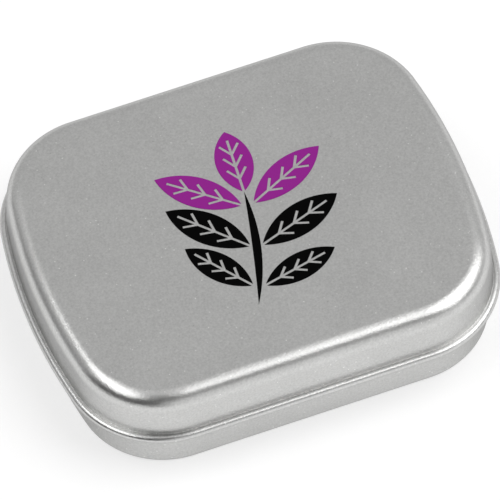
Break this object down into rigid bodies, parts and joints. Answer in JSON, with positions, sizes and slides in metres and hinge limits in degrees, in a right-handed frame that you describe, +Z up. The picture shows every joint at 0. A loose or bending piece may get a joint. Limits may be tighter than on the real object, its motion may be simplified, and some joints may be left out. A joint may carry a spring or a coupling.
{
  "type": "mint tin",
  "caption": "Small hinged mint tin with rounded corners: a drawn sheet body, and a drawn lid with a rolled bead and a printed leaf sprig.",
  "frame": {"origin": "middle of the flat base, on the surface that the tin stands on", "axes": "+X along the tin's length, +Y towards the hinge side at the back, +Z up"},
  "size_m": [0.06, 0.0491, 0.0145],
  "materials": {
    "body_metal": "satin tinplate",
    "lid_metal": "satin tinplate",
    "purple_ink": "satin ink",
    "black_ink": "satin ink"
  },
  "bodies": {
    "body": {"body_shell": "body_metal"},
    "lid": {"lid_shell": "lid_metal", "print_purple": "purple_ink", "print_black": "black_ink"}
  },
  "joints": [
    {"name": "lid_hinge", "type": "hinge", "parent": "body", "child": "lid", "pos_m": [0, 0.02368, 0.0071], "axis": [-1, 0, 0], "range_deg": [0, 110]}
  ]
}
